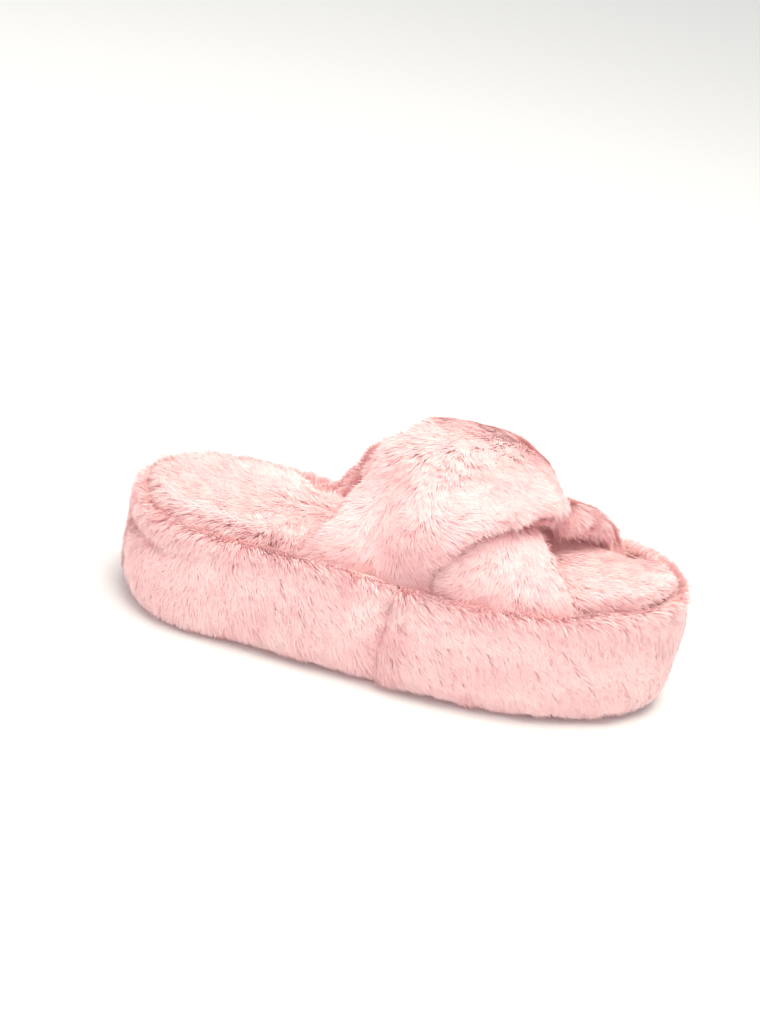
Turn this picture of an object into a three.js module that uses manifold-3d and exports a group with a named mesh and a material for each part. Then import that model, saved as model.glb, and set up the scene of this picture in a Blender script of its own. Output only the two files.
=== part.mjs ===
// Fluffy platform house slipper, right foot: a foam platform wrapped in fur fabric, a fur footbed
// and two padded fur bands that cross over the foot. Millimetres, +X to the toe, +Y to the
// wearer's inner side, +Z up. The origin is the middle of the bottom of the overall box.
import * as THREE from 'three';
import { mergeVertices } from 'three/addons/utils/BufferGeometryUtils.js';
import Module from 'manifold-3d';

const wasm = await Module();
wasm.setup();

// ---- Driving dimensions ----------------------------------------------------------------------
const fit = 0.4; // clearance between pieces that touch
const layerGap = 0.75; // clearance between curved soft layers that lie over each other

// Outsole outline, seen from above.
const outsoleLength = 240;
const ballWidth = 90;
const heelWidth = 66;
const waistMedialHalf = 30; // half width on the inner side at the arch
const waistLateralHalf = 39;
const ballLateralX = 30; // where the outline is widest on the outer side
const ballMedialX = 48;
const waistX = -30;
const heelX = -88;
const toeShift = 5; // the toe tip lies this far to the inner side
const ballShift = -1; // the ball's middle lies this far to the outer side

// Outsole, a moulded rubber sheet.
const outsoleThickness = 4;
const grooveInset = 5.5;
const grooveWidth = 1.2;
const grooveDepth = 0.8;
const treadBarX = [74.6, 48, 22.4, -62.6, -88.7];
const treadSlant = 0.477; // forward run of a bar for each millimetre to the inner side
const ribsPerBar = 9;
const ribPitch = 1.45;
const ribGrooveWidth = 0.75;
const ribGrooveDepth = 0.8;
const sizePadX = -22;
const sizePadLength = 26.5;
const sizePadWidth = 37.6;
const sizePadDepth = 0.5;
const sizePadCorner = 2;

// Platform: foam core, soft padding round its wall, fur wrap over that.
const marginThickness = 2; // the wrap's lower edge, turned in and glued under the core
const marginWidth = 12;
const platformHeight = 37.4; // foam core alone
const coreStep = 2; // the core stands this far outside the outsole
const paddingThickness = 4;
const furWallThickness = 11; // fabric and pile
const furWallRise = 12; // the wall's fur stands this far above the core
const toeWallRise = 5; // and this much more at the toe
const furLipDrop = 1.6; // the wall's fur hangs this far below the top of the outsole
const seamX = -3; // vertical seams between toe wrap and heel wrap
const seamCrease = 3; // the wall is drawn in by this much at each seam
const seamCreaseReach = 9;
const seamGap = 0.8;
const wallFootRun = 11; // the wall's fur turns out under itself over this width
const wallFootRise = 10; // and up over this height
const wallBellyHeight = 30; // the wall's fur stands out furthest at this height
const wallCrestShare = 0.4; // the crest lies at this share of the fur's thickness
const wallInnerDrop = 5; // the crest's fur comes down to the footbed over this height
const toeRiseStart = 40; // X where the wall starts to rise towards the toe

// Footbed.
const boardThickness = 2;
const footbedFoamEdge = 7.4;
const footbedCrown = 1.2;
const foamRound = 2.5;
const coverRound = 4;
const coverShoulder = 3.4; // height of the rounded edge of the footbed's fur
const coverSide = 2.4;
const bandPress = 4.5; // the bands press the footbed's edge down by this much
const sidePressShare = 0.45; // and its side by this share of it
const coverTop = 6.4; // the fur stands this far above the foam
const ledgeMargin = 2; // the footbed leaves this much more room beside the bands' roots
const ledgeSlope = 1.25; // and runs out to the wall over this many band thicknesses
const threadRadius = 0.45;

// Crossed bands. Each edge has the X where it leaves the platform on the outer and inner side.
// It first rises straight up on the side where it passes the other band, and its ease above 1
// bows it towards the toe.
const bandThickness = 12.5; // lining, padding and fur shell together
const liningThickness = 2;
const bandPaddingThickness = 4;
const bandLip = 6; // the fur shell is turned in round the band's edges by this much
const bandEdgeWall = 4.6;
const overBand = {
  rear: { lateral: -52, medial: 30, upright: 'medial', ease: 0.7 },
  front: { lateral: 14, medial: 99, upright: 'lateral', ease: 2.3 },
};
const underBand = {
  rear: { lateral: 16, medial: -50, upright: 'lateral', ease: 1 },
  front: { lateral: 82, medial: 15, upright: 'medial', ease: 1 },
};
const uprightShare = 0.12; // share of the arch that such an edge rises straight
const uprightBend = 0.1; // and how gently it then turns
const bandGap = 1.2; // between the two bands where they cross
const archHeight = 41; // inner height of the instep arch above the band roots
const archShareToe = 0.626; // the arch's height at the toe end against its full height
const archToeX = [20, 68];
const archShareHeel = 0.714;
const archHeelX = [-12, -48];
const archSquareness = 2.3; // 2 is an ellipse, more is squarer
const archBulge = 3;
const instepSkew = 7; // the ridge of the instep lies to the inner side
const rootLevel = 0.08; // share of the arch over which the bands turn from upright
const liftRoots = [0.08, 0.18]; // shares of the arch between which the upper band comes off it
const liftReach = 28; // the upper band climbs onto the lower one over this length
const liftMargin = 4; // and is up this far before the lower band's edge

// ---- Heights and offsets that follow ---------------------------------------------------------
const marginBottom = outsoleThickness + fit;
const coreBottom = marginBottom + marginThickness + fit;
const coreTop = coreBottom + platformHeight;
const paddingInner = coreStep + fit;
const paddingOuter = paddingInner + paddingThickness;
const wallInner = paddingOuter + fit;
const wallOuter = wallInner + furWallThickness;
const wallTop = coreTop + furWallRise;
const boardBottom = coreTop + fit;
const foamBottom = boardBottom + boardThickness + fit;
const threadOffset = wallInner - fit - threadRadius;
const threadHeight = coreTop + fit + threadRadius;
const bandRootZ = threadHeight + threadRadius + fit;
const bandInner = wallInner - 2 * fit - bandThickness; // offset of the band's inner face at its root
const coverWide = wallInner - 2 * fit;
const coverNarrow = bandInner - fit;

// ---- Outline ---------------------------------------------------------------------------------
const roundHandle = 0.57; // bezier handle of a full quarter round
const sideHandle = 0.42; // handle of a long side curve

function soleOutline() {
  const heelTip = [-outsoleLength / 2, 0];
  const toeTip = [outsoleLength / 2, toeShift];
  const lateral = [
    [heelX, -heelWidth / 2],
    [waistX, -waistLateralHalf],
    [ballLateralX, ballShift - ballWidth / 2],
  ];
  const medial = [
    [ballMedialX, ballShift + ballWidth / 2],
    [waistX, waistMedialHalf],
    [heelX, heelWidth / 2],
  ];
  const shape = new THREE.Shape();
  const alongSide = (from, to) => {
    const reach = sideHandle * (to[0] - from[0]);
    shape.bezierCurveTo(from[0] + reach, from[1], to[0] - reach, to[1], to[0], to[1]);
  };
  const roundFromTip = (from, to) => {
    const rise = roundHandle * (to[1] - from[1]);
    const run = roundHandle * (to[0] - from[0]);
    shape.bezierCurveTo(from[0], from[1] + rise, to[0] - run, to[1], to[0], to[1]);
  };
  const roundToTip = (from, to) => {
    const rise = roundHandle * (to[1] - from[1]);
    const run = roundHandle * (to[0] - from[0]);
    shape.bezierCurveTo(from[0] + run, from[1], to[0], to[1] - rise, to[0], to[1]);
  };
  shape.moveTo(...heelTip);
  roundFromTip(heelTip, lateral[0]);
  alongSide(lateral[0], lateral[1]);
  alongSide(lateral[1], lateral[2]);
  roundToTip(lateral[2], toeTip);
  roundFromTip(toeTip, medial[0]);
  alongSide(medial[0], medial[1]);
  alongSide(medial[1], medial[2]);
  roundToTip(medial[2], heelTip);
  return shape;
}

const outline = soleOutline();
outline.arcLengthDivisions = 800;

function outlineStation(share) {
  const wrapped = share - Math.floor(share);
  const point = outline.getPointAt(wrapped);
  const tangent = outline.getTangentAt(wrapped);
  return { x: point.x, y: point.y, outX: tangent.y, outY: -tangent.x };
}

function offsetPoint(station, offset) {
  return new THREE.Vector2(station.x + station.outX * offset, station.y + station.outY * offset);
}

// The share of the outline's length at which it passes x, on one side.
function shareAtX(x, side) {
  let low = side === 'lateral' ? 0.05 : 0.55;
  let high = low + 0.4;
  const rising = side === 'lateral';
  for (let step = 0; step < 40; step += 1) {
    const middle = (low + high) / 2;
    if (outlineStation(middle).x < x === rising) low = middle;
    else high = middle;
  }
  return (low + high) / 2;
}

const lateralSeam = shareAtX(seamX, 'lateral');
const medialSeam = shareAtX(seamX, 'medial');
const stationsPerWrap = 32;

function sharesBetween(from, to, count) {
  return Array.from({ length: count + 1 }, (_, i) => from + ((to - from) * i) / count);
}

const toeShares = sharesBetween(lateralSeam, medialSeam, stationsPerWrap);
const heelShares = sharesBetween(medialSeam, 1 + lateralSeam, stationsPerWrap);
const ringStations = [...toeShares.slice(0, -1), ...heelShares.slice(0, -1)].map(outlineStation);

// The y of the outline's parallel curve at x, for the places where the bands stand.
function parallelCurve(side, offset) {
  const count = 160;
  const [from, to] = side === 'lateral' ? [0.03, 0.5] : [0.5, 0.97];
  const points = sharesBetween(from, to, count).map((share) => offsetPoint(outlineStation(share), offset));
  points.sort((a, b) => a.x - b.x);
  return (x) => {
    let index = points.findIndex((point) => point.x >= x);
    if (index < 1) index = index === 0 ? 1 : points.length - 1;
    const before = points[index - 1];
    const after = points[index];
    return before.y + ((after.y - before.y) * (x - before.x)) / (after.x - before.x);
  };
}

const smooth = (t) => THREE.MathUtils.smoothstep(t, 0, 1);

// ---- Solids ----------------------------------------------------------------------------------
function signedArea(a, b, c) {
  return (b.x - a.x) * (c.y - a.y) - (c.x - a.x) * (b.y - a.y);
}

// Triangles over a flat outline, each wound the way the outline runs.
function capFaces(contour) {
  const turn = THREE.ShapeUtils.area(contour);
  return THREE.ShapeUtils.triangulateShape(contour, []).map(([a, b, c]) =>
    signedArea(contour[a], contour[b], contour[c]) * turn > 0 ? [a, b, c] : [a, c, b],
  );
}

function volumeOf(positions, faces) {
  let sum = 0;
  const corner = (i) => new THREE.Vector3().fromArray(positions, 3 * i);
  for (const [a, b, c] of faces) sum += corner(a).dot(corner(b).cross(corner(c)));
  return sum / 6;
}

// Two triangles along the shorter diagonal, so that layers over each other fold alike.
function splitQuad(points, a, b, c, d) {
  const short = points[a].distanceTo(points[c]) < points[b].distanceTo(points[d]);
  return short ? [[a, b, c], [a, c, d]] : [[a, b, d], [b, c, d]];
}

// A closed body through rings of equal length. The chain of rings closes on itself, or its two
// ends are closed by flat faces laid out on the contours given.
function loft(rings, startContour, endContour) {
  const around = rings[0].length;
  const points = rings.flat();
  const positions = points.flatMap((point) => [point.x, point.y, point.z]);
  const faces = [];
  const closed = !startContour;
  const strips = closed ? rings.length : rings.length - 1;
  for (let ring = 0; ring < strips; ring += 1) {
    const here = ring * around;
    const next = ((ring + 1) % rings.length) * around;
    for (let i = 0; i < around; i += 1) {
      const j = (i + 1) % around;
      faces.push(...splitQuad(points, here + i, here + j, next + j, next + i));
    }
  }
  if (!closed) {
    const last = (rings.length - 1) * around;
    faces.push(...capFaces(startContour).map(([a, b, c]) => [a, c, b]));
    faces.push(...capFaces(endContour).map(([a, b, c]) => [last + a, last + b, last + c]));
  }
  if (volumeOf(positions, faces) < 0) faces.forEach((face) => face.reverse());
  const geometry = new THREE.BufferGeometry();
  geometry.setAttribute('position', new THREE.Float32BufferAttribute(positions, 3));
  geometry.setIndex(faces.flat());
  return geometry;
}

function toSolid(geometry) {
  const bare = geometry.clone();
  bare.deleteAttribute('normal');
  bare.deleteAttribute('uv');
  const merged = mergeVertices(bare, 1e-4);
  const vertProperties = new Float32Array(merged.attributes.position.array);
  const triVerts = new Uint32Array(merged.index.array);
  return new wasm.Manifold(new wasm.Mesh({ numProp: 3, vertProperties, triVerts }));
}

function toGeometry(solid) {
  const mesh = solid.getMesh();
  const geometry = new THREE.BufferGeometry();
  geometry.setAttribute('position', new THREE.Float32BufferAttribute(mesh.vertProperties, 3));
  geometry.setIndex(Array.from(mesh.triVerts));
  return geometry;
}

function plate(shape, bottom, top) {
  const geometry = new THREE.ExtrudeGeometry(shape, { depth: top - bottom, bevelEnabled: false });
  return geometry.translate(0, 0, bottom);
}

function offsetShape(offset) {
  return new THREE.Shape(ringStations.map((station) => offsetPoint(station, offset)));
}

// ---- Outsole ---------------------------------------------------------------------------------
function perimeterGroove() {
  const shape = offsetShape(-grooveInset);
  shape.holes.push(new THREE.Path(offsetShape(-grooveInset - grooveWidth).getPoints().reverse()));
  return toSolid(plate(shape, -1, grooveDepth));
}

function ribGrooves() {
  const reach = ballWidth;
  const strips = treadBarX.flatMap((barX) =>
    Array.from({ length: ribsPerBar + 1 }, (_, i) => {
      const x = barX + (i - ribsPerBar / 2) * ribPitch;
      const corner = (side, end) =>
        new THREE.Vector2(x + (side * ribGrooveWidth) / 2 + end * reach * treadSlant, end * reach);
      const shape = new THREE.Shape([corner(-1, -1), corner(1, -1), corner(1, 1), corner(-1, 1)]);
      return toSolid(plate(shape, -1, ribGrooveDepth));
    }),
  );
  const field = toSolid(plate(offsetShape(-grooveInset - grooveWidth / 2), -1, ribGrooveDepth));
  return wasm.Manifold.union(strips).intersect(field);
}

function sizePad() {
  const x = sizePadLength / 2 - sizePadCorner;
  const y = sizePadWidth / 2 - sizePadCorner;
  const shape = new THREE.Shape();
  shape.absarc(sizePadX + x, y, sizePadCorner, 0, Math.PI / 2);
  shape.absarc(sizePadX - x, y, sizePadCorner, Math.PI / 2, Math.PI);
  shape.absarc(sizePadX - x, -y, sizePadCorner, Math.PI, 1.5 * Math.PI);
  shape.absarc(sizePadX + x, -y, sizePadCorner, 1.5 * Math.PI, 2 * Math.PI);
  const geometry = new THREE.ExtrudeGeometry(shape, {
    depth: 1 + sizePadDepth,
    bevelEnabled: false,
    curveSegments: 4,
  });
  return toSolid(geometry.translate(0, 0, -1));
}

function outsole() {
  const sheet = toSolid(plate(offsetShape(0), 0, outsoleThickness));
  return toGeometry(sheet.subtract(perimeterGroove()).subtract(ribGrooves()).subtract(sizePad()));
}

// ---- Platform --------------------------------------------------------------------------------
// The wall's section: x is the distance outside the outsole's edge, y the height.
function wallSection() {
  const lip = outsoleThickness - furLipDrop;
  const lipReach = marginWidth / 3;
  const edge = 2 * fit;
  const crest = wallInner + wallCrestShare * furWallThickness;
  const shoulder = (crest + wallOuter) / 2;
  const shape = new THREE.Shape();
  shape.moveTo(-marginWidth, marginBottom);
  shape.lineTo(edge, marginBottom);
  shape.quadraticCurveTo(edge, lip, lipReach, lip);
  shape.bezierCurveTo(wallFootRun, lip, wallOuter, lip + wallFootRise, wallOuter, wallBellyHeight);
  shape.bezierCurveTo(wallOuter, (wallBellyHeight + wallTop) / 2, shoulder, wallTop, crest, wallTop);
  shape.quadraticCurveTo(wallInner, wallTop, wallInner, wallTop - wallInnerDrop);
  shape.lineTo(wallInner, marginBottom + marginThickness);
  shape.lineTo(-marginWidth, marginBottom + marginThickness);
  return shape.getPoints(4).slice(0, -1);
}

function toeRise(x) {
  return toeWallRise * THREE.MathUtils.smoothstep(x, toeRiseStart, outsoleLength / 2);
}

function wrap(shares) {
  const section = wallSection();
  const length = outline.getLength();
  const first = shares[0];
  const last = shares[shares.length - 1];
  const inset = seamGap / 2 / length;
  const near = [0.25, 0.5, 0.75].map((part) => (part * seamCreaseReach) / length);
  const cut = shares.filter((share) => share > first + near[2] && share < last - near[2]);
  const stops = [first + inset, ...near.map((n) => first + n), ...cut];
  stops.push(...near.map((n) => last - n).reverse(), last - inset);
  const rings = stops.map((share) => {
    const station = outlineStation(share);
    const fromSeam = Math.min(share - first, last - share) * length;
    const drawnIn = seamCrease * (1 - smooth(fromSeam / seamCreaseReach)) ** 2;
    return section.map((point) => {
      const bulge = Math.max(point.x - wallInner, 0) / furWallThickness;
      const flat = offsetPoint(station, point.x - drawnIn * bulge);
      const rise = toeRise(station.x) * THREE.MathUtils.smoothstep(point.y, coreBottom, wallTop);
      return new THREE.Vector3(flat.x, flat.y, point.y + rise);
    });
  });
  return loft(rings, section, section);
}

function ringAround(section) {
  return loft(
    ringStations.map((station) =>
      section.map((point) => {
        const flat = offsetPoint(station, point.x);
        return new THREE.Vector3(flat.x, flat.y, point.y);
      }),
    ),
  );
}

function wallPadding() {
  return ringAround([
    new THREE.Vector2(paddingInner, coreBottom),
    new THREE.Vector2(paddingOuter, coreBottom),
    new THREE.Vector2(paddingOuter, coreTop - paddingThickness),
    new THREE.Vector2(paddingOuter - paddingThickness / 4, coreTop - paddingThickness / 4),
    new THREE.Vector2(paddingInner, coreTop),
  ]);
}

function topSeamThread() {
  const circle = new THREE.Path().absarc(threadOffset, threadHeight, threadRadius, 0, 2 * Math.PI);
  return ringAround(circle.getPoints(3).slice(0, -1));
}

// ---- Footbed ---------------------------------------------------------------------------------
// The footbed leaves a ledge for the band roots and reaches the wall everywhere else.
function besideBands(station) {
  const side = station.y < toeShift * (station.x / outsoleLength) ? 'lateral' : 'medial';
  const rear = Math.min(overBand.rear[side], underBand.rear[side]) - ledgeMargin;
  const front = Math.max(overBand.front[side], underBand.front[side]) + ledgeMargin;
  const ledgeX = offsetPoint(station, coverNarrow).x;
  const outside = Math.max(rear - ledgeX, ledgeX - front);
  return 1 - smooth(outside / (ledgeSlope * bandThickness));
}

function footbedOffset(station) {
  return THREE.MathUtils.lerp(coverWide, coverNarrow, besideBands(station));
}

const footbedStations = sharesBetween(0, 1, 72).slice(0, -1).map(outlineStation);
const spineShare = 0.74; // length of the footbed's middle line against its outline

// One level ring of the footbed: inset from its edge, then drawn towards the middle line.
function footbedRing(inset, toMiddle, height) {
  return footbedStations.map((station) => {
    const edge = offsetPoint(station, footbedOffset(station) - inset);
    const middleX = edge.x * spineShare;
    const middleY = (toeShift * middleX) / outsoleLength;
    return new THREE.Vector3(
      THREE.MathUtils.lerp(edge.x, middleX, toMiddle),
      THREE.MathUtils.lerp(edge.y, middleY, toMiddle),
      height,
    );
  });
}

const crownShares = [0, 0.2, 0.45, 0.86];

function crownRings(inset, edgeHeight, crown) {
  return crownShares.map((t) => footbedRing(inset, t, edgeHeight + crown * (1 - (1 - t) ** 2)));
}

function stacked(rings) {
  const flat = (ring) => ring.map((point) => new THREE.Vector2(point.x, point.y));
  return loft(rings, flat(rings[0]), flat(rings[rings.length - 1]));
}

const boardInset = coverSide + fit;
const foamEdgeTop = foamBottom + footbedFoamEdge;
const coverEdgeTop = foamEdgeTop + coverTop;

function insoleBoard() {
  return stacked([
    footbedRing(boardInset, 0, boardBottom),
    footbedRing(boardInset, 0, boardBottom + boardThickness),
  ]);
}

function footbedFoam() {
  return stacked([
    footbedRing(boardInset, 0, foamBottom),
    footbedRing(boardInset, 0, foamEdgeTop - foamRound),
    ...crownRings(boardInset + foamRound, foamEdgeTop, footbedCrown),
  ]);
}

function footbedCover() {
  const inner = [
    footbedRing(coverSide, 0, foamEdgeTop - foamRound + layerGap),
    ...crownRings(boardInset + foamRound, foamEdgeTop + layerGap, footbedCrown),
  ].reverse();
  const rim = 2 * threadRadius + fit;
  const top = [
    footbedRing(0, 0, foamEdgeTop - foamRound),
    footbedRing(coverRound / 3, 0, coverEdgeTop - coverShoulder),
    ...crownRings(coverRound, coverEdgeTop, footbedCrown),
  ];
  const pressShares = [sidePressShare, 1, ...crownShares.map((t) => 1 - t)];
  const riseShares = [0, 1, ...crownShares.map(() => 1)];
  top.forEach((ring, index) => {
    ring.forEach((point, i) => {
      const press = bandPress * pressShares[index] * besideBands(footbedStations[i]);
      point.z += riseShares[index] * toeRise(point.x) - press;
    });
  });
  return stacked([
    ...inner,
    footbedRing(coverSide, 0, boardBottom),
    footbedRing(rim, 0, boardBottom),
    footbedRing(rim, 0, boardBottom + rim),
    footbedRing(0, 0, boardBottom + 2 * rim),
    ...top,
  ]);
}

// ---- Bands -----------------------------------------------------------------------------------
const lateralRoot = parallelCurve('lateral', bandInner);
const medialRoot = parallelCurve('medial', bandInner);

function archAt(x) {
  const toe = THREE.MathUtils.smoothstep(x, archToeX[0], archToeX[1]);
  const heel = 1 - THREE.MathUtils.smoothstep(x, archHeelX[1], archHeelX[0]);
  return archHeight * (1 - (1 - archShareToe) * toe - (1 - archShareHeel) * heel);
}

// A point of the instep arch: across runs from 0 at the outer side to 1 at the inner side.
function archPoint(across, x) {
  const angle = Math.PI * (1 - across);
  const power = 2 / archSquareness;
  const cosine = Math.cos(angle);
  const sine = Math.max(Math.sin(angle), 0);
  const left = lateralRoot(x);
  const right = medialRoot(x);
  const side = Math.sign(cosine) * Math.abs(cosine) ** power;
  const rise = sine ** power;
  const bulge = archBulge * Math.sin(2 * angle) * rise;
  const skew = (instepSkew * archAt(x)) / archHeight;
  const y = (left + right) / 2 + ((right - left) / 2) * side + skew * rise ** 2 + bulge;
  return new THREE.Vector3(x, y, bandRootZ + archAt(x) * rise);
}

// Outward direction of the arch, level at the roots so that the bands end flat on the platform.
function archNormal(across, x) {
  const step = 0.004;
  const low = Math.max(across - step, 0);
  const high = Math.min(across + step, 1);
  const alongArch = archPoint(high, x).sub(archPoint(low, x));
  const alongFoot = archPoint(across, x + 0.5).sub(archPoint(across, x - 0.5));
  const normal = alongArch.cross(alongFoot).negate();
  normal.z *= smooth(Math.min(across, 1 - across) / rootLevel);
  return normal.normalize();
}

// Where a band's edge lies at a place across the foot.
function edgeAt(edge, across) {
  const fromLateral = edge.upright === 'lateral';
  const run = Math.max(0, (fromLateral ? across : 1 - across) - uprightShare) / (1 - uprightShare);
  const turned = (run ** 2 * (1 + uprightBend)) / (run + uprightBend);
  const share = 1 - (1 - (fromLateral ? turned : 1 - turned)) ** edge.ease;
  return THREE.MathUtils.lerp(edge.lateral, edge.medial, share);
}

// How far the upper band is lifted off the arch to clear the lower one.
function overLift(across, x) {
  const rear = edgeAt(underBand.rear, across);
  const front = edgeAt(underBand.front, across);
  const full = bandThickness + bandGap;
  const atRoots = THREE.MathUtils.smoothstep(Math.min(across, 1 - across), ...liftRoots);
  const fromRear = smooth((x - rear + liftReach + liftMargin) / liftReach);
  const fromFront = smooth((front + liftReach + liftMargin - x) / liftReach);
  return full * atRoots * fromRear * fromFront;
}

const acrossSteps = 28;
const widthSteps = 7;
const endStation = 8; // the outermost stations across the width, shared by every layer

// Sections are lists of [distance from the rear edge, height above the arch].
function bandBody(band, lifted, section) {
  const rings = [];
  for (let step = 0; step <= acrossSteps; step += 1) {
    const across = step / acrossSteps;
    const rear = edgeAt(band.rear, across);
    const front = edgeAt(band.front, across);
    rings.push(
      section(front - rear).map(([distance, height]) => {
        const x = rear + distance;
        const lift = lifted ? overLift(across, x) : 0;
        return archPoint(across, x).addScaledVector(archNormal(across, x), height + lift);
      }),
    );
  }
  return loft(rings, endContour(section, band, 'lateral'), endContour(section, band, 'medial'));
}

// The section laid flat for a band's end face, arched a little so that no three points line up.
function endContour(section, band, side) {
  const width = band.front[side] - band.rear[side];
  return section(width).map(([distance, height]) => {
    const fromMiddle = (2 * distance) / width - 1;
    return new THREE.Vector2(distance, height - fromMiddle ** 2);
  });
}

// A level line across the band, inset at both ends, on stations shared by every layer.
function levelLine(width, inset, height) {
  const span = width - 2 * endStation;
  const inner = Array.from({ length: widthSteps + 1 }, (_, i) => endStation + (span * i) / widthSteps);
  return [inset, ...inner, width - inset].map((distance) => [distance, height]);
}

const paddingLow = liningThickness + layerGap;
const paddingHigh = paddingLow + bandPaddingThickness;

function shellSection(width) {
  const edge = [
    [0.3 * bandLip, 0.07 * bandThickness],
    [0, 0.32 * bandThickness],
    [0.1 * bandLip, 0.64 * bandThickness],
    [0.5 * bandLip, 0.9 * bandThickness],
  ];
  const mirrored = edge.map(([distance, height]) => [width - distance, height]).reverse();
  return [
    [bandLip, 0],
    ...edge,
    ...levelLine(width, bandLip, bandThickness),
    ...mirrored,
    [width - bandLip, 0],
    [width - bandLip, liningThickness],
    [width - bandEdgeWall, liningThickness],
    ...levelLine(width, bandEdgeWall, paddingHigh + layerGap).reverse(),
    [bandEdgeWall, liningThickness],
    [bandLip, liningThickness],
  ];
}

function paddingSection(width) {
  const inset = bandEdgeWall + fit;
  return [...levelLine(width, inset, paddingLow), ...levelLine(width, inset, paddingHigh).reverse()];
}

function liningSection(width) {
  const inset = bandLip + fit;
  return [...levelLine(width, inset, 0), ...levelLine(width, inset, liningThickness).reverse()];
}

// ---- Assembly --------------------------------------------------------------------------------
const finishes = {
  fur: { color: '#f3d9cf', roughness: 0.95 },
  rubber: { color: '#1d1c1e', roughness: 0.7 },
  core: { color: '#efece6', roughness: 0.85 },
  padding: { color: '#f5f1e4', roughness: 0.95 },
  board: { color: '#c9a87c', roughness: 0.8 },
  lining: { color: '#ecc9bf', roughness: 0.95 },
  thread: { color: '#e7c4b8', roughness: 0.7 },
};

const slipper = new THREE.Group();

function add(name, finish, geometry) {
  const mesh = new THREE.Mesh(geometry, new THREE.MeshStandardMaterial({ ...finishes[finish], metalness: 0 }));
  mesh.name = name;
  slipper.add(mesh);
}

function addBand(name, band, lifted) {
  add(`${name}_shell`, 'fur', bandBody(band, lifted, shellSection));
  add(`${name}_padding`, 'padding', bandBody(band, lifted, paddingSection));
  add(`${name}_lining`, 'lining', bandBody(band, lifted, liningSection));
}

add('outsole', 'rubber', outsole());
add('bottom_filler', 'padding', plate(offsetShape(-marginWidth - fit), marginBottom, marginBottom + marginThickness));
add('platform_core', 'core', plate(offsetShape(coreStep), coreBottom, coreTop));
add('wall_padding', 'padding', wallPadding());
add('toe_wrap', 'fur', wrap(toeShares));
add('heel_wrap', 'fur', wrap(heelShares));
add('top_seam_thread', 'thread', topSeamThread());
add('insole_board', 'board', insoleBoard());
add('footbed_foam', 'padding', footbedFoam());
add('footbed_cover', 'fur', footbedCover());
addBand('under_band', underBand, false);
addBand('over_band', overBand, true);

const box = new THREE.Box3().setFromObject(slipper, true);
const middle = box.getCenter(new THREE.Vector3());
slipper.position.set(-middle.x, -middle.y, -box.min.z);

export default slipper;
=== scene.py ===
from collections import namedtuple
from math import cos, radians, sin, tau

import bmesh
import bpy
import numpy as np
from bpy.props import FloatProperty, FloatVectorProperty, PointerProperty
from mathutils import Matrix, Vector
from mathutils.bvhtree import BVHTree
from mathutils.kdtree import KDTree


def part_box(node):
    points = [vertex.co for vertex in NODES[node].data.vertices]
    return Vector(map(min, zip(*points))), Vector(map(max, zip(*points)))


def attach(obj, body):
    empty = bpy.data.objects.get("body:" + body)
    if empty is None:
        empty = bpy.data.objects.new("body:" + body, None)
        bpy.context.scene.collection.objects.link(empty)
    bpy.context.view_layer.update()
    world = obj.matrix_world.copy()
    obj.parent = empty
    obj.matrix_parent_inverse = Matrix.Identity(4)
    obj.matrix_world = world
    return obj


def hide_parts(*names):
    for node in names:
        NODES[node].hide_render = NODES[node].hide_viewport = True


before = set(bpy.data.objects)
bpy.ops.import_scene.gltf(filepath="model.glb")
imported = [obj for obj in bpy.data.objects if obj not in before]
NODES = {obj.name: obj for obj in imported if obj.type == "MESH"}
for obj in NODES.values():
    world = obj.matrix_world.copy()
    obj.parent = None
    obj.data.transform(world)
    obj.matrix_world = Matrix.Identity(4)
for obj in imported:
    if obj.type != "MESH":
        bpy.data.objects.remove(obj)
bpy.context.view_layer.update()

bl_info = {
    "name": "Fluffy House Slipper",
    "version": (1, 0, 0),
    "blender": (4, 5, 0),
    "location": "3D View > Sidebar > Slipper",
    "description": "Builds the fur, plush, foam and rubber of a platform house slipper",
    "category": "Object",
}

MM = 0.001
UP = np.array([0.0, 0.0, 1.0])
TOEWARDS = np.array([1.0, 0.0, 0.0])
PILE_MAP = "OFBake"  # u is a hair's own tone, v the place along it
MAP_HALF_WIDTH = 0.004  # of a hair in the pile map


# ---- Sizes and colours -----------------------------------------------------------------------
def length(name, description, millimetres):
    return FloatProperty(
        name=name, description=description, default=millimetres * MM, min=0, unit="LENGTH",
        precision=4,
    )


def colour(name, description, rgb):
    return FloatVectorProperty(
        name=name, description=description, default=rgb, size=3, min=0, max=1, subtype="COLOR"
    )


class SlipperSizes(bpy.types.PropertyGroup):
    pile: length("Pile", "Length of the fur's hairs", 11)
    hair: length("Hair width", "Width of one lock of hair at its root", 0.48)
    root_depth: length("Root depth", "How far the fabric lies below the tips, where it has room", 6)
    proud: length("Proud", "How far the tips stand past the mean surface", 0.5)
    tuft: length("Tuft", "Distance between the tufts that the hairs gather in", 3.6)
    plush_pile: length("Plush pile", "Length of the lining's pile", 3.2)
    per_square: FloatProperty(
        name="Density", description="Hairs on each square millimetre of fur", default=3.55, min=0.1
    )
    pebble: length("Pebble", "Size of the outsole's pebble grain", 0.9)


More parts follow.
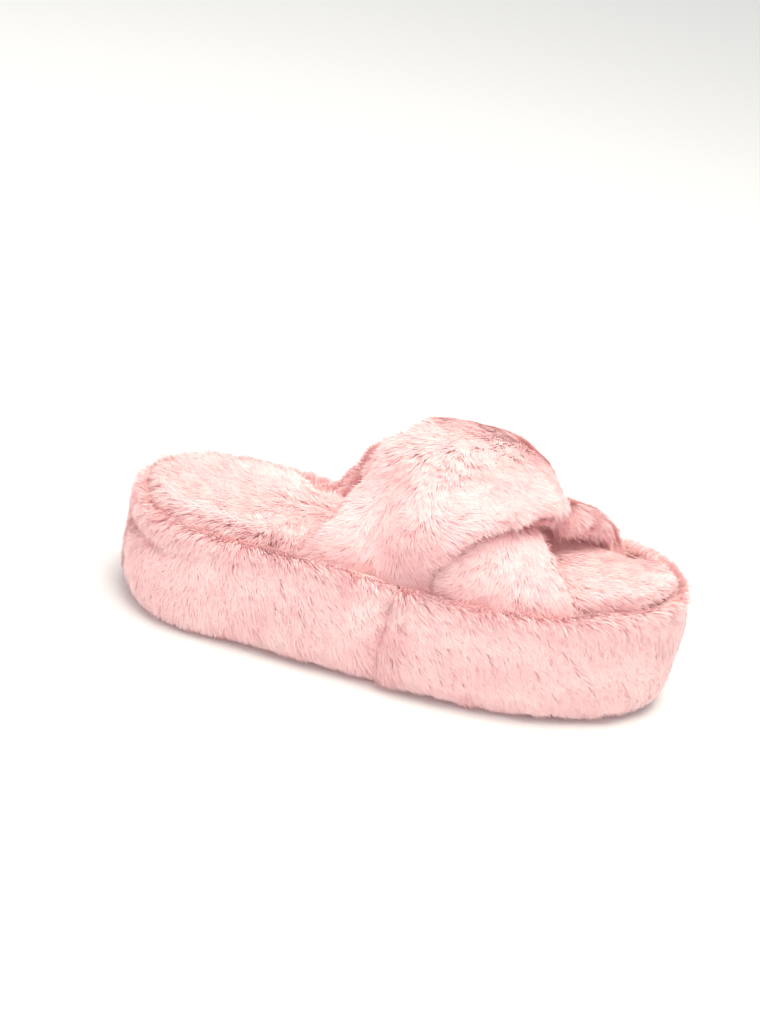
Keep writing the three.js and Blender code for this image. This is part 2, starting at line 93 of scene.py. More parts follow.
class SlipperColours(bpy.types.PropertyGroup):
    tip: colour("Tips", "Ends of the fur", (0.95, 0.71, 0.71))
    middle: colour("Pile", "Fur half way down", (0.91, 0.50, 0.51))
    root: colour("Roots", "Fur at the fabric", (0.86, 0.45, 0.43))
    pale: colour("Pale hairs", "The palest of the hairs", (0.985, 0.87, 0.83))
    fabric: colour("Fabric", "Knitted backing under the fur", (0.90, 0.58, 0.56))
    rubber: colour("Rubber", "Outsole", (0.016, 0.015, 0.016))
    core: colour("Core", "Foam core of the platform", (0.86, 0.83, 0.78))
    foam: colour("Foam", "Soft paddings", (0.88, 0.83, 0.70))
    board: colour("Board", "Insole board", (0.50, 0.33, 0.18))
    felt: colour("Felt", "Filler under the core", (0.46, 0.42, 0.38))
    thread: colour("Thread", "Seam thread", (0.82, 0.55, 0.50))
    floor: colour("Floor", "Studio floor", (0.88, 0.88, 0.88))


def sizes():
    return bpy.context.scene.slipper_sizes


def colours():
    return bpy.context.scene.slipper_colours


def rgba(rgb):
    return (*rgb, 1.0)


# ---- Materials -------------------------------------------------------------------------------
class Wire:
    """A node's output that can stand in a sum: every operator adds its Math node."""

    def __init__(self, finish, socket):
        self.finish = finish
        self.socket = socket

    def maths(self, operation, *values):
        return self.finish.node("ShaderNodeMath", {"operation": operation}, dict(enumerate(values)))

    def __add__(self, other):
        return self.maths("ADD", self, other)

    def __sub__(self, other):
        return self.maths("SUBTRACT", self, other)

    def __mul__(self, other):
        return self.maths("MULTIPLY", self, other)

    def __rsub__(self, other):
        return self.maths("SUBTRACT", other, self)

    __radd__ = __add__
    __rmul__ = __mul__

    def clipped(self):
        return self.maths("MINIMUM", self.maths("MAXIMUM", self, 0.0), 1.0)


def socket_name(keyword):
    return keyword.replace("_", " ").title().replace("Ior", "IOR")


class Finish:
    """One procedural material on a Principled shader. Its constants carry their sockets' names."""

    def __init__(self, name, **constants):
        self.material = bpy.data.materials.new(name)
        self.material.use_nodes = True
        self.tree = self.material.node_tree
        self.shader = next(n for n in self.tree.nodes if n.type == "BSDF_PRINCIPLED")
        for socket, value in constants.items():
            self.shader.inputs[socket_name(socket)].default_value = value

    def node(self, kind, settings=None, inputs=None, output=0):
        made = self.tree.nodes.new(kind)
        for key, value in (settings or {}).items():
            setattr(made, key, value)
        for key, value in (inputs or {}).items():
            self.feed(made.inputs[key], value)
        return Wire(self, made.outputs[output])

    def feed(self, socket, value):
        if isinstance(value, Wire):
            self.tree.links.new(value.socket, socket)
        else:
            socket.default_value = value

    def shade(self, **inputs):
        for name, value in inputs.items():
            self.feed(self.shader.inputs[socket_name(name)], value)

    def places(self):
        return self.node("ShaderNodeTexCoord", output="Object")

    def noise(self, size, detail=2.0, stretch=(1, 1, 1)):
        scale = [s / size for s in stretch]
        scaled = self.node("ShaderNodeMapping", inputs={"Vector": self.places(), "Scale": scale})
        inputs = {"Vector": scaled, "Scale": 1.0, "Detail": detail}
        return self.node("ShaderNodeTexNoise", inputs=inputs)

    def cells(self, size, feature="F1"):
        inputs = {"Vector": self.places(), "Scale": 1 / size}
        return self.node("ShaderNodeTexVoronoi", {"feature": feature}, inputs)

    def blend(self, share, first, second):
        tones = [rgba(tone) if isinstance(tone, tuple) else tone for tone in (first, second)]
        inputs = {"Factor": share, 6: tones[0], 7: tones[1]}
        return self.node("ShaderNodeMix", {"data_type": "RGBA"}, inputs, output=2)

    def bump(self, height, depth, strength=0.6):
        self.shade(Normal=self.node(
            "ShaderNodeBump", inputs={"Height": height, "Distance": depth, "Strength": strength}
        ))


PAINTED_GLOW = 0.06  # strength of a painted glow: a faint emission in the pile's colour, over all the fur, that stands in for the light that passes through hairs and lifts their shade


def fur_finish():
    """Hair colour from the pile map: deep at the roots, pale at the tips, each hair in its tone,
    with a faint painted glow in the pile's colour.
    """
    tints = colours()
    finish = Finish(
        "faux_fur_pile", roughness=0.85, ior=1.4, sheen_weight=0.25,
        sheen_tint=(1.0, 0.93, 0.9, 1.0), emission_color=rgba(tints.middle), emission_strength=PAINTED_GLOW,
    )
    place = finish.node("ShaderNodeUVMap", {"uv_map": PILE_MAP})
    tone = finish.node("ShaderNodeSeparateXYZ", inputs={0: place}, output=0)
    along = finish.node("ShaderNodeSeparateXYZ", inputs={0: place}, output=1)
    lower = finish.blend((along * 2.2).clipped(), tuple(tints.root), tuple(tints.middle))
    hair = finish.blend((along * 2 - 0.8).clipped(), lower, tuple(tints.tip))
    deep = ((0.5 - tone) * 1.3).clipped()
    pale = ((tone - 0.5) * 1.3).clipped()
    hair = finish.blend(deep, hair, tuple(tints.middle))
    hair = finish.blend(pale, hair, tuple(tints.pale))
    finish.shade(Base_Color=hair)
    return finish.material


def fabric_finish():
    """Knitted backing: fine loops, a little mottled."""
    base = tuple(colours().fabric)
    finish = Finish("knit_backing", roughness=0.95)
    mottle = finish.noise(6 * MM, 3.0)
    finish.shade(Base_Color=finish.blend(mottle, base, tuple(0.8 * c for c in base)))
    finish.bump(finish.cells(0.8 * MM), 0.3 * MM)
    return finish.material


def rubber_finish():
    """Moulded rubber with a pebble grain, duller in the hollows."""
    base = tuple(colours().rubber)
    grain = sizes().pebble
    finish = Finish("pebbled_rubber", roughness=0.5)
    pebbles = finish.cells(grain, "SMOOTH_F1")
    patches = finish.noise(14 * MM, 4.0)
    finish.shade(
        Base_Color=finish.blend(patches, base, tuple(2.2 * c for c in base)),
        Roughness=0.36 + pebbles * 0.3 + patches * 0.08,
    )
    finish.bump(1 - pebbles, 0.25 * MM, 0.8)
    return finish.material


def foam_finish(name, base, cell, roughness=0.9):
    """Foam with open cells of one size and a little yellowing."""
    base = tuple(base)
    finish = Finish(name, roughness=roughness)
    pores = finish.cells(cell)
    stain = finish.noise(25 * MM, 3.0)
    finish.shade(Base_Color=finish.blend(stain * pores, base, tuple(0.75 * c for c in base)))
    finish.bump(pores, 0.5 * cell)
    return finish.material


def fibre_finish(name, base, fibre, stretch, roughness):
    """Pressed, needled or twisted fibres: streaks of two tones with a fine relief."""
    base = tuple(base)
    finish = Finish(name, roughness=roughness)
    fibres = finish.noise(fibre, 6.0, stretch)
    specks = finish.noise(0.3 * fibre, 2.0)
    streaks = (fibres * 1.6 - 0.3 + specks * 0.3).clipped()
    finish.shade(Base_Color=finish.blend(streaks, base, tuple(0.6 * c for c in base)))
    finish.bump(fibres + specks * 0.5, 0.2 * MM)
    return finish.material


# ---- Surfaces --------------------------------------------------------------------------------
def cad_tree(*names):
    """A ray-casting tree over CAD solids as they are packed."""
    corners, faces = [], []
    for name in names:
        mesh = NODES[name].data
        start = len(corners)
        corners.extend(v.co.copy() for v in mesh.vertices)
        faces.extend([start + i for i in p.vertices] for p in mesh.polygons)
    return BVHTree.FromPolygons(corners, faces)


def reach_of(tree, points, directions, start, most):
    """How far each ray runs before it meets the tree, or most where it meets nothing."""
    found = np.full(len(points), most)
    for i, (point, direction) in enumerate(zip(points, directions)):
        hit = tree.ray_cast(Vector(point + direction * start), Vector(direction), most)
        if hit[3] is not None:
            found[i] = hit[3] + start
    return found


def merged(node, edge):
    """The node's solid with its doubles merged and no edge longer than edge."""
    bm = bmesh.new()
    bm.from_mesh(NODES[node].data)
    bmesh.ops.remove_doubles(bm, verts=bm.verts, dist=0.01 * MM)
    for _ in range(6):
        long = [e for e in bm.edges if e.calc_length() > edge]
        if not long:
            break
        bmesh.ops.subdivide_edges(bm, edges=long, cuts=1)
        bmesh.ops.triangulate(bm, faces=bm.faces)
    bm.verts.index_update()
    bm.normal_update()
    return bm


def softened(bm, rounds):
    for _ in range(rounds):
        bmesh.ops.smooth_vert(
            bm, verts=bm.verts, factor=0.5, use_axis_x=True, use_axis_y=True, use_axis_z=True
        )
    bm.normal_update()


def around(bm, values):
    """The mean of the values on each vertex's neighbours."""
    edges = np.array([[v.index for v in e.verts] for e in bm.edges])
    count = np.bincount(edges.ravel(), minlength=len(values))
    total = np.zeros_like(values)
    np.add.at(total, edges[:, 0], values[edges[:, 1]])
    np.add.at(total, edges[:, 1], values[edges[:, 0]])
    return total / np.maximum(count, 1)


def even(bm, values, rounds):
    """Values on the vertices, averaged with their neighbours a few times."""
    for _ in range(rounds):
        values = 0.5 * values + 0.5 * around(bm, values)
    return values


def places_of(bm):
    return np.array([v.co for v in bm.verts]), np.array([v.normal for v in bm.verts])


def unit(vectors):
    return vectors / np.maximum(np.linalg.norm(vectors, axis=1, keepdims=True), 1e-12)


def smooth(t):
    t = np.clip(t, 0, 1)
    return t * t * (3 - 2 * t)


def drift(points, wavelength, seed, waves=7):
    """A smooth random vector at each point, of length about one, that turns over a wavelength."""
    rng = np.random.default_rng(seed)
    total = np.zeros_like(points)
    for _ in range(waves):
        direction = rng.normal(size=3)
        direction *= tau / (wavelength * rng.uniform(0.7, 1.5)) / np.linalg.norm(direction)
        total += np.sin(points @ direction + rng.uniform(0, tau))[:, None] * rng.normal(size=3)
    return total / np.sqrt(waves * 1.5)


FABRIC_EDGE = 3.2 * MM  # longest edge of a fabric's mesh
PADDING_EDGE = 6 * MM  # and of a padding's
RAY_START = 0.05 * MM  # rays start this far off the surface that they leave
RAY_REACH = 2.4 * MM  # how far a ray looks for a neighbour
CLEAR = 2.3 * MM  # a place is open when its neighbour is no nearer than this
THICKEST = 30 * MM  # more than the thickness of any furred solid
THINNEST_ROOM = 0.6 * MM  # the fabric lies at least this deep on the open side


def piece_of(bm, name, material):
    """A smoothly shaded object with the mesh that was worked on, which is then let go."""
    mesh = bpy.data.meshes.new(name)
    bm.to_mesh(mesh)
    bm.free()
    for face in mesh.polygons:
        face.use_smooth = True
    return placed(name, mesh, material)


class Backing:
    """The fabric under a furred piece: its CAD solid, its open side let in by the pile's depth."""

    def __init__(self, node, depth, dents=None):
        bm = merged(node, FABRIC_EDGE)
        points, normals = places_of(bm)
        gaps = reach_of(cad_tree(*NODES), points, normals, RAY_START, RAY_REACH)
        open_side = (gaps > CLEAR).astype(float)
        for _ in range(2):
            open_side = np.where(around(bm, open_side) > 0.6, 1.0, open_side)
        thickness = reach_of(cad_tree(node), points, -normals, RAY_START, THICKEST)
        for _ in range(2):
            thickness = np.maximum(thickness, 0.9 * around(bm, thickness))
        softened(bm, 2)
        points, normals = places_of(bm)
        normals = unit(np.stack([even(bm, normals[:, axis], 2) for axis in range(3)], 1))
        self.open = even(bm, open_side, 1)
        room = even(bm, np.clip(0.55 * thickness, THINNEST_ROOM, depth), 4)
        self.depth = room * smooth(self.open)
        hollow = dents(points, normals) * self.open if dents else 0
        self.skin = points - normals * hollow[:, None] if dents else points
        for vertex, place in zip(bm.verts, self.skin - normals * self.depth[:, None]):
            vertex.co = place
        bm.normal_update()
        self.normals = normals
        self.faces = np.array([[v.index for v in f.verts] for f in bm.faces])
        self.bm = bm

    def roots(self, density, rng, wanted):
        """Random places on the open side, evenly spread: surface point, normal and depth."""
        corners = self.skin[self.faces]
        areas = np.linalg.norm(
            np.cross(corners[:, 1] - corners[:, 0], corners[:, 2] - corners[:, 0]), axis=1
        ) / 2
        keep = (self.open[self.faces].mean(1) > 0.55) & wanted(corners.mean(1))
        areas = areas * keep
        count = int(areas.sum() / MM**2 * density)
        chosen = rng.choice(len(areas), count, p=areas / areas.sum())
        a, b = rng.random((2, count))
        flip = a + b > 1
        a[flip], b[flip] = 1 - a[flip], 1 - b[flip]
        weights = np.stack([1 - a - b, a, b], 1)[:, :, None]
        corner = self.faces[chosen]
        return (
            (self.skin[corner] * weights).sum(1),
            unit((self.normals[corner] * weights).sum(1)),
            (self.depth[corner] * weights[:, :, 0]).sum(1),
        )


def placed(name, mesh, *materials):
    piece = bpy.data.objects.new(name, mesh)
    bpy.context.scene.collection.objects.link(piece)
    for material in materials:
        mesh.materials.append(material)
    return piece


# ---- Fur -------------------------------------------------------------------------------------
def levelled(flow, normals):
    """The part of a direction that lies along the surface."""
    return flow - normals * (flow * normals).sum(1, keepdims=True)


def outwards(points):
    """Level directions away from the sole's middle line."""
    half_line = 62 * MM
    away = points.copy()
    away[:, 0] -= np.clip(points[:, 0], -half_line, half_line)
    away[:, 2] = 0
    return unit(away)


# A hair is a ribbon of two four-sided faces and a pointed one.
STATIONS = np.array([0.0, 0.4, 0.75, 1.0])  # along its length
WIDTHS = np.array([0.75, 1.0, 0.62, 0.0])  # of its greatest width
RIBBON_LOOPS = np.array([0, 1, 3, 2, 2, 3, 5, 4, 4, 5, 6])
RIBBON_SIDES = np.array([4, 4, 3])
RISE_CURVE = 2.1  # a hair leaves its root steeply and ends nearly flat
RUN_CURVE = 1.35
SURFACE_SHARE = 0.65  # of a hair's shading normal. The rest is its ribbon's own

# How the pile lies at each place: the way it leans and rises, how far its tips stand out, the share
# of its length that is left, and the height that it doesn't pass.
Comb = namedtuple("Comb", "lean rise proud trim lid")


def hair_lines(points, normals, depth, flow, comb, pile, proud, rng):
    """The bent middle line of every hair."""
    count = len(points)
    reach = pile * rng.uniform(0.72, 1.12, count) * comb.trim
    rise = np.minimum(depth + proud * rng.uniform(0.1, 1.5, count), 0.93 * reach)
    run = np.sqrt(reach**2 - rise**2)
    start = points - normals * depth[:, None]
    lines = []
    for t in STATIONS:
        up = rise * (1 - (1 - t) ** RISE_CURVE)
        along = run * t**RUN_CURVE
        lines.append(start + comb.rise * up[:, None] + flow * along[:, None])
    lines = np.stack(lines, 1)
    lid = comb.lid + 0.8 * MM * rng.random(count)
    lines[:, :, 2] = np.clip(lines[:, :, 2], 0.4 * MM, lid[:, None])
    return lines


def tree_of(points):
    tree = KDTree(len(points))
    for i, point in enumerate(points):
        tree.insert(Vector(point), i)
    tree.balance()
    return tree


def gathered(lines, points, tuft, strength, rng):
    """Hairs drawn together into tufts, most at their tips."""
    count = len(points)
    wanted = max(1, int(count / max(1.0, tuft_share(points, tuft))))
    leaders = rng.choice(count, min(wanted, count), replace=False)
    tree = tree_of(points[leaders])
    shifted = points + rng.normal(size=points.shape) * 0.12 * tuft
    nearest = leaders[np.array([tree.find(Vector(p))[1] for p in shifted])]
    pull = strength * rng.uniform(0.35, 1.0, count)[:, None, None] * (STATIONS**1.4)[None, :, None]
    return lines + (lines[nearest] - lines) * pull


def tuft_share(points, tuft):
    """How many hairs there are to a tuft, from how densely the points lie."""
    sample = points[:: max(1, len(points) // 400)]
    tree = tree_of(points)
    return float(np.mean([len(tree.find_range(Vector(p), tuft / 2)) for p in sample]))


def hair_piece(name, lines, normals, width, tones, material):
    """One mesh of tapered ribbons, their flat sides outwards, with the pile map."""
    count, steps = lines.shape[:2]
    tangent = np.gradient(lines, axis=1)
    across = np.cross(tangent, normals[:, None, :])
    across /= np.maximum(np.linalg.norm(across, axis=2, keepdims=True), 1e-9)
    half = across * (width[:, None] * WIDTHS[None, :])[:, :, None] / 2
    left, right = lines - half, lines + half
    pairs = np.stack([left[:, :-1], right[:, :-1]], 2).reshape(count, -1, 3)
    corners = np.concatenate([pairs, lines[:, -1:]], 1)
    each = corners.shape[1]
    mesh = bpy.data.meshes.new(name)
    mesh.vertices.add(count * each)
    mesh.vertices.foreach_set("co", corners.astype(np.float32).ravel())
    all_loops = (np.arange(count)[:, None] * each + RIBBON_LOOPS).ravel()
    mesh.loops.add(len(all_loops))
    mesh.loops.foreach_set("vertex_index", all_loops.astype(np.int32))
    totals = np.tile(RIBBON_SIDES, count)
    starts = np.concatenate([[0], np.cumsum(totals)[:-1]])
    mesh.polygons.add(len(totals))
    mesh.polygons.foreach_set("loop_start", starts.astype(np.int32))
    mesh.polygons.foreach_set("use_smooth", np.ones(len(totals), bool))
    uv = mesh.uv_layers.new(name=PILE_MAP)
    v = STATIONS * 0.94 + 0.03
    offsets = np.array([[-1, 1]] * (steps - 1)).ravel() * MAP_HALF_WIDTH
    u_each = np.concatenate([tones[:, None] + offsets, tones[:, None]], 1)
    v_each = np.tile(np.concatenate([np.repeat(v[:-1], 2), v[-1:]]), (count, 1))
    place = np.stack([u_each, v_each], 2)[:, RIBBON_LOOPS].reshape(-1, 2)
    uv.data.foreach_set("uv", place.astype(np.float32).ravel())
    mesh.update(calc_edges=True)
    mesh.validate()
    facing = np.cross(across, tangent)
    facing *= np.sign((facing * normals[:, None, :]).sum(2, keepdims=True))
    facing /= np.maximum(np.linalg.norm(facing, axis=2, keepdims=True), 1e-9)
    mixed = SURFACE_SHARE * normals[:, None, :] + (1 - SURFACE_SHARE) * facing
    shading = unit(mixed.reshape(-1, 3)).reshape(count, steps, 3)
    per_corner = np.concatenate([np.repeat(shading[:, :-1], 2, axis=1), shading[:, -1:]], 1)
    mesh.normals_split_custom_set_from_vertices(per_corner.reshape(-1, 3).tolist())
    return placed(name, mesh, material)


# Waves in which the pile strays from its combing, as wavelength and strength, from wide to narrow.
STRAYING = ((22 * MM, 0.38), (7 * MM, 0.22))
LONE_STRAYING = 0.26  # and how far each hair strays by itself
SWELL_WAVE = 11 * MM  # over which the pile stands higher and lower
TONE_WAVE = 16 * MM  # over which it is paler and deeper


def furred(
    name, backing, wanted, combing, seed, material, part=0, pile=None, density=None, tuft_pull=0.5
):
    """Hairs on the part of a backing that wanted keeps, lying as combing says. The parts of one
    backing share their seed, so that the pile drifts across their borders."""
    size = sizes()
    rng = np.random.default_rng([seed, part])
    pile = pile or size.pile
    density = density or size.per_square
    points, normals, depth = backing.roots(density, rng, wanted)
    comb = combing(points, normals)
    lean = levelled(comb.lean, comb.rise)
    for wave, (wavelength, strength) in enumerate(STRAYING, 1):
        lean += levelled(drift(points, wavelength, seed + wave), normals) * strength
    lean += levelled(rng.normal(size=points.shape), normals) * LONE_STRAYING
    lean = unit(lean)
    swell = 1 + 0.35 * drift(points, SWELL_WAVE, seed + 3)[:, 0]
    proud = comb.proud * np.clip(swell, 0.2, 2)
    lines = hair_lines(points, normals, depth, lean, comb, pile, proud, rng)
    lines = gathered(lines, points, size.tuft, tuft_pull, rng)
    shared = 0.13 * drift(points, TONE_WAVE, seed + 4)[:, 0]
    tones = 0.5 + shared + 0.16 * rng.normal(size=len(points))
    width = size.hair * rng.uniform(0.7, 1.25, len(points))
    return hair_piece(name, lines, normals, width, np.clip(tones, 0.02, 0.98), material)


# ---- Where the fur is combed ------------------------------------------------------------------
FUR = "faux_fur"
WRAPS = ("toe_wrap", "heel_wrap")
SEAM_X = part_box("heel_wrap")[1].x
TIP_X = 95 * MM  # in front of this the toe's fur is a piece of its own
# Lines where the fur wall is drawn in on the outer side: ends, half width and depth in millimetres
PUCKERS = [
    ((-133, -20, 41), (-116, -45, 44.5), 4.5, 6.0),
    ((-116, -45, 44.5), (-101, -52, 48), 4.5, 6.0),
    ((-101, -52, 48), (-85, -56, 47), 4.5, 6.0),
    ((-85, -56, 47), (-72, -57, 46), 4.0, 6.0),
    ((-95, -53.5, 46.5), (-91.5, -54, 32), 2.4, 5.0),
    ((-72, -57, 46), (-67, -57, 21), 2.8, 5.5),
]
# Where the lower band swells, in millimetres
PILLOW_MIDDLE = np.array([50, -43, 72])
PILLOW_REACH = np.array([26, 24, 17])
PILLOW_RISE = 4.5


def away_from_line(points, start, end):
    """Distance of each point from a stretch of line, and the direction away from it."""
    a, b = np.array(start) * MM, np.array(end) * MM
    share = np.clip((points - a) @ (b - a) / ((b - a) @ (b - a)), 0, 1)
    away = points - (a + share[:, None] * (b - a))
    distance = np.linalg.norm(away, axis=1)
    return distance, away / np.maximum(distance, 1e-9)[:, None]


def wall_dents(points, normals):
    """Depth of the creases in the fur wall, and a gentle unevenness all round it."""
    total = 0.9 * MM * drift(points, 34 * MM, 5)[:, 0]
    for start, end, half, depth in PUCKERS:
        distance, _ = away_from_line(points, start, end)
        total += depth * MM * np.exp(-((distance / (half * MM)) ** 2))
    return total * smooth(points[:, 2] / (12 * MM))


def over_dents(points, normals):
    """The upper band is plump and a little uneven."""
    return 0.8 * MM * drift(points, 30 * MM, 6)[:, 0]


def under_dents(points, normals):
    """The lower band swells like a pillow where the upper one leaves it free on the outer side."""
    from_middle = (points - PILLOW_MIDDLE * MM) / (PILLOW_REACH * MM)
    swell = PILLOW_RISE * MM * np.exp(-(from_middle**2).sum(1))
    return 0.8 * MM * drift(points, 30 * MM, 7)[:, 0] - swell


def rim_heights():
    """Stations along the foot and the height of the fur wall's rim at each."""
    corners = np.array([v.co for node in WRAPS for v in NODES[node].data.vertices])
    stations = np.linspace(corners[:, 0].min(), corners[:, 0].max(), 40)
    reach = stations[1] - stations[0]
    return stations, [corners[np.abs(corners[:, 0] - x) <= reach, 2].max() for x in stations]


RIM = rim_heights()


def lid_over(points, groove):
    """Pile in the groove between the footbed and the wall ends level with the rim."""
    return np.interp(points[:, 0], *RIM) + 0.9 * MM + (1 - groove) * 60 * MM


def wall_comb(points, normals):
    """Down the wall and to the toe, outwards over the rim, long at the foot, parted at creases."""
    out = outwards(points)
    groove = smooth(-(normals * out).sum(1, keepdims=True) / 0.5)
    top = smooth(normals[:, 2:] / 0.9)
    under = smooth(-normals[:, 2:] / 0.8)
    comb = 0.85 * smooth((points[:, :1] / MM + 120) / 70) - 0.1
    lean = out * (top + 0.25 * under) - UP * (1 - 0.7 * top) + TOEWARDS * comb
    lean = lean * (1 - groove) + out * groove
    past_seam = points[:, 0] - SEAM_X
    lean += TOEWARDS * ((past_seam > 0) * np.exp(-np.abs(past_seam) / (9 * MM)))[:, None] * 0.9
    trim = np.ones(len(points))
    for start, end, half, _ in PUCKERS:
        distance, away = away_from_line(points, start, end)
        lean += away * (0.5 * np.exp(-((distance / (1.4 * half * MM)) ** 2)))[:, None]
        trim -= 0.4 * np.exp(-((distance / (half * MM)) ** 2))
    foot = smooth((26 * MM - points[:, 2]) / (12 * MM)) * (1 - under[:, 0])
    trim = (np.clip(trim, 0.55, 1) + 0.6 * foot) * (1 - 0.45 * groove[:, 0])
    rise = unit(normals * (1 - groove) + UP * groove)
    return Comb(lean, rise, sizes().proud + 0.6 * MM * foot, trim, lid_over(points, groove[:, 0]))


def bed_comb(points, normals):
    """Outwards from the footbed's middle, and across the groove at its edge to the wall's rim."""
    groove = smooth((0.88 - normals[:, 2:]) / 0.5)
    lean = outwards(points) * (0.8 + 0.6 * groove)
    lean += TOEWARDS * np.sign(points[:, :1]) * 0.35 * (1 - groove)
    rise = unit(normals + 2 * UP)
    return Comb(lean, rise, sizes().proud, 1.0, lid_over(points, groove[:, 0]))


def band_comb(middle_x, slope, drop):
    """Along the band from the inner side over to the outer one, and out at its two edges, where the
    pile stands out. The band's middle line runs at x = middle + slope y."""

    def comb(points, normals):
        off = np.clip((points[:, 0] - middle_x * MM - slope * points[:, 1]) / (26 * MM), -1, 1)
        along = 1 - 0.75 * np.abs(off)
        lean = (np.cross(TOEWARDS, normals) - TOEWARDS * 0.5 * slope) * along[:, None] - UP * drop
        lean += TOEWARDS * (1.1 * off)[:, None]
        edge = smooth((np.abs(normals[:, 0]) - 0.75) / 0.2)
        return Comb(lean, normals, sizes().proud + 0.7 * MM * edge, 1.0, np.full(len(points), 1.0))

    return comb


OVER_COMB = band_comb(22, 0.9, 0.25)
UNDER_COMB = band_comb(16, -0.74, 0.25)


def outer_half(centres):
    return centres[:, 1] < 0


def inner_half(centres):
    return centres[:, 1] >= 0


def rear_half(centres):
    return centres[:, 0] < 0


def front_half(centres):
    return centres[:, 0] >= 0


def all_of_it(centres):
    return np.ones(len(centres), bool)


def toe_outer(centres):
    return outer_half(centres) & (centres[:, 0] < TIP_X)


def toe_inner(centres):
    return inner_half(centres) & (centres[:, 0] < TIP_X)


def toe_tip(centres):
    return centres[:, 0] >= TIP_X


FURRED = {
    "toe_wrap": (wall_dents, wall_comb, {"outer": toe_outer, "inner": toe_inner, "tip": toe_tip}),
    "heel_wrap": (wall_dents, wall_comb, {"outer": outer_half, "inner": inner_half}),
    "footbed_cover": (None, bed_comb, {"rear": rear_half, "front": front_half}),
    "under_band_shell": (under_dents, UNDER_COMB, {"outer": outer_half, "inner": inner_half}),
    "over_band_shell": (over_dents, OVER_COMB, {"outer": outer_half, "inner": inner_half}),
}


def registered(piece, slot, *nodes):
    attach(piece, "root")
    if nodes:
        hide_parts(*nodes)
    return piece


def furred_piece(node, seed):
    """The fabric of a furred node, with its fur standing on it in parts."""
    dents, combing, parts = FURRED[node]
    hair = bpy.data.materials.get("faux_fur_pile") or fur_finish()
    knit = bpy.data.materials.get("knit_backing") or fabric_finish()
    backing = Backing(node, sizes().root_depth, dents)
    for offset, (part, wanted) in enumerate(parts.items()):
        name = f"{node}_fur_{part}"
        registered(furred(name, backing, wanted, combing, seed, hair, offset), FUR)
    return registered(piece_of(backing.bm, f"{node}_fabric", knit), FUR, node)


# Stage: name, place, size in metres, watts and tint of each light
LIGHTS = (
    ("key", (0.12, -0.12, 1.3), 0.9, 19.5, (1.0, 0.97, 0.84)),
    ("fill", (-0.5, -1.2, 0.7), 1.2, 3.0, (1.0, 0.96, 1.0)),
)
SKY_STRENGTH = 0.72
LIT_POINT = Vector((0, 0, 0.05))
FLOOR_HALF = 4.0


# ---- Operators -------------------------------------------------------------------------------
class SLIPPER_OT_platform_fur(bpy.types.Operator):
    """Fur wrap round the platform, in its toe and heel pieces"""

    bl_idname = "slipper.platform_fur"
    bl_label = "Platform Fur"

    def execute(self, context):
        for seed, node in enumerate(WRAPS):
            furred_piece(node, 100 + 50 * seed)
        return {"FINISHED"}


class SLIPPER_OT_footbed(bpy.types.Operator):
    """Fur cover of the footbed"""

    bl_idname = "slipper.footbed"
    bl_label = "Footbed"

    def execute(self, context):
        furred_piece("footbed_cover", 300)
        return {"FINISHED"}


class SLIPPER_OT_bands(bpy.types.Operator):
    """The two crossed fur bands with their short plush linings"""

    bl_idname = "slipper.bands"
    bl_label = "Crossed Bands"

    def execute(self, context):
        hair = bpy.data.materials["faux_fur_pile"]
        knit = bpy.data.materials["knit_backing"]
        for seed, band in enumerate(("under_band", "over_band")):
            furred_piece(f"{band}_shell", 400 + 50 * seed)
            lining = Backing(f"{band}_lining", 1.0 * MM)
            combing = UNDER_COMB if band == "under_band" else OVER_COMB
            plush = furred(
                f"{band}_plush", lining, all_of_it, combing, 600 + 50 * seed, hair,
                pile=sizes().plush_pile, density=2.4, tuft_pull=0.2,
            )
            registered(plush, "lining_plush")
            fabric = piece_of(lining.bm, f"{band}_lining_fabric", knit)
            registered(fabric, "lining_plush", f"{band}_lining")
        return {"FINISHED"}


class SLIPPER_OT_paddings(bpy.types.Operator):
    """Soft foam inside: round the platform's wall, under the footbed's fur and in both bands"""

    bl_idname = "slipper.paddings"
    bl_label = "Paddings"

    def execute(self, context):
        foam = foam_finish("open_cell_foam", colours().foam, 0.9 * MM)
        for node in ("wall_padding", "footbed_foam", "under_band_padding", "over_band_padding"):
            bm = merged(node, PADDING_EDGE)
            softened(bm, 2)
            pad = registered(piece_of(bm, "soft_" + node, foam), "soft_foam", node)
        return {"FINISHED"}


class SLIPPER_OT_hard_pieces(bpy.types.Operator):
    """Finishes of the outsole, foam core, insole board, filler and seam thread"""

    bl_idname = "slipper.hard_pieces"
    bl_label = "Outsole and Core"

    def execute(self, context):
        tints = colours()
        finishes = {
            "outsole": rubber_finish(),
            "platform_core": foam_finish("closed_cell_foam", tints.core, 0.5 * MM, 0.8),
            "insole_board": fibre_finish("cellulose_board", tints.board, 3 * MM, (1, 1, 1), 0.8),
            "bottom_filler": fibre_finish("needled_felt", tints.felt, 4 * MM, (1, 3, 1), 0.95),
            "top_seam_thread": fibre_finish("twisted_thread", tints.thread, 1 * MM, (1, 1, 3), 0.7),
        }
        for node, material in finishes.items():
            mesh = NODES[node].data
            mesh.materials.clear()
            mesh.materials.append(material)
        return {"FINISHED"}


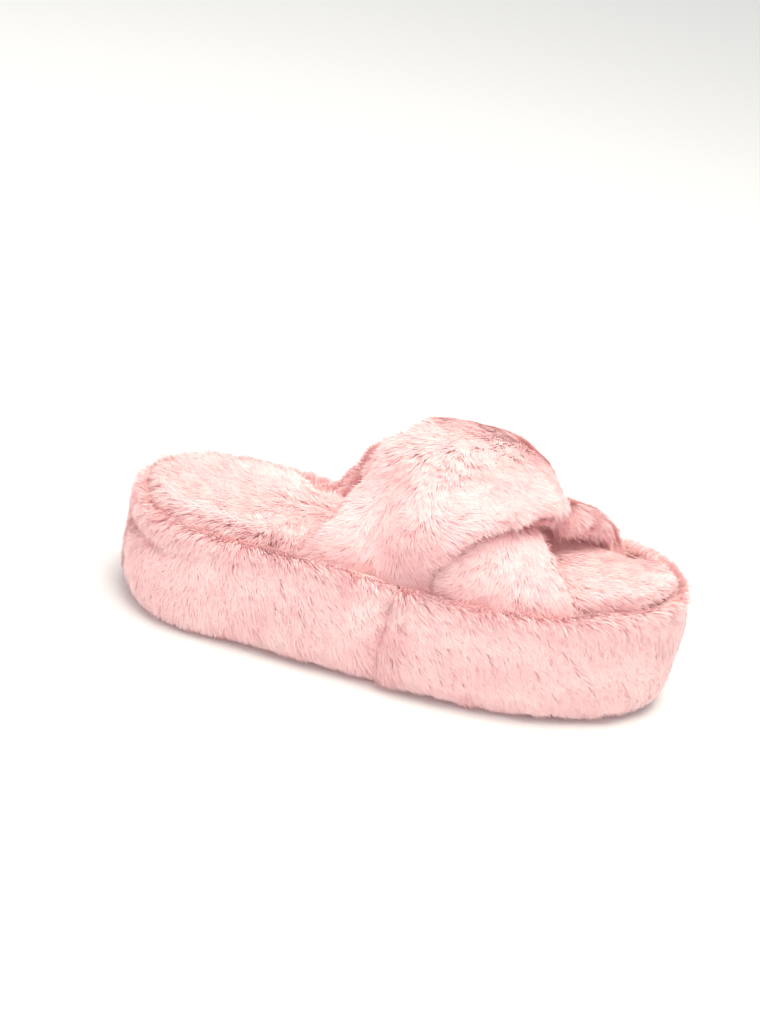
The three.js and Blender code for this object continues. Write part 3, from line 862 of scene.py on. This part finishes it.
class SLIPPER_OT_stage(bpy.types.Operator):
    """Plain pale floor, soft studio light and the camera"""

    bl_idname = "slipper.stage"
    bl_label = "Stage"

    def execute(self, context):
        scene = context.scene
        scene.view_settings.view_transform = "Standard"
        bm = bmesh.new()
        bmesh.ops.create_grid(bm, x_segments=1, y_segments=1, size=FLOOR_HALF)
        mesh = bpy.data.meshes.new("floor")
        bm.to_mesh(mesh)
        bm.free()
        finish = Finish("pale_floor", roughness=0.9)
        finish.shade(Base_Color=rgba(colours().floor))
        placed("floor", mesh, finish.material)
        world = bpy.data.worlds.new("studio")
        world.use_nodes = True
        sky = world.node_tree.nodes["Background"]
        sky.inputs["Color"].default_value = (1, 1, 1, 1)
        sky.inputs["Strength"].default_value = SKY_STRENGTH
        scene.world = world
        for name, place, size, watts, tint in LIGHTS:
            light = bpy.data.lights.new(name, "AREA")
            light.size = size
            light.energy = watts
            light.color = tint
            lamp = bpy.data.objects.new(name, light)
            scene.collection.objects.link(lamp)
            lamp.location = place
            lamp.rotation_euler = (LIT_POINT - lamp.location).to_track_quat("-Z", "Y").to_euler()
        camera = bpy.data.objects.new("camera", bpy.data.cameras.new("camera"))
        scene.collection.objects.link(camera)
        scene.camera = camera
        aim_camera(camera)
        return {"FINISHED"}


def aim_camera(camera):
    """A long lens on the outer side, 24 degrees above level and rolled so that the toe dips."""
    elevation, roll, distance = radians(24), radians(13), 1.2
    frame_height = 497 * MM
    across, rise = -4.8 * MM, 64.8 * MM
    back = Vector((0, -cos(elevation), sin(elevation)))
    level_up = Vector((0, sin(elevation), cos(elevation)))
    right = Vector((1, 0, 0)) * cos(roll) + level_up * sin(roll)
    up = level_up * cos(roll) - Vector((1, 0, 0)) * sin(roll)
    target = right * across + up * rise
    camera.data.sensor_width = 36
    camera.data.lens = camera.data.sensor_width * distance / frame_height
    camera.data.clip_start, camera.data.clip_end = 0.05, 20
    turn = Matrix((right, up, back)).transposed().to_4x4()
    camera.matrix_world = Matrix.Translation(target + back * distance) @ turn


class SLIPPER_PT_panel(bpy.types.Panel):
    """The slipper's pieces, sizes and colours"""

    bl_label = "Fluffy House Slipper"
    bl_idname = "SLIPPER_PT_panel"
    bl_space_type = "VIEW_3D"
    bl_region_type = "UI"
    bl_category = "Slipper"

    def draw(self, context):
        layout = self.layout
        for operator in OPERATORS:
            layout.operator(operator.bl_idname)
        for group in (context.scene.slipper_sizes, context.scene.slipper_colours):
            for name in group.bl_rna.properties.keys():
                if name not in ("rna_type", "name"):
                    layout.prop(group, name)


OPERATORS = (
    SLIPPER_OT_hard_pieces,
    SLIPPER_OT_paddings,
    SLIPPER_OT_platform_fur,
    SLIPPER_OT_footbed,
    SLIPPER_OT_bands,
    SLIPPER_OT_stage,
)
CLASSES = (SlipperSizes, SlipperColours, *OPERATORS, SLIPPER_PT_panel)


def register():
    for cls in CLASSES:
        bpy.utils.register_class(cls)
    bpy.types.Scene.slipper_sizes = PointerProperty(type=SlipperSizes)
    bpy.types.Scene.slipper_colours = PointerProperty(type=SlipperColours)


def unregister():
    del bpy.types.Scene.slipper_colours
    del bpy.types.Scene.slipper_sizes
    for cls in reversed(CLASSES):
        bpy.utils.unregister_class(cls)


def main():
    register()
    for operator in OPERATORS:
        group, name = operator.bl_idname.split(".")
        getattr(getattr(bpy.ops, group), name)()


if __name__ == "__main__":
    main()
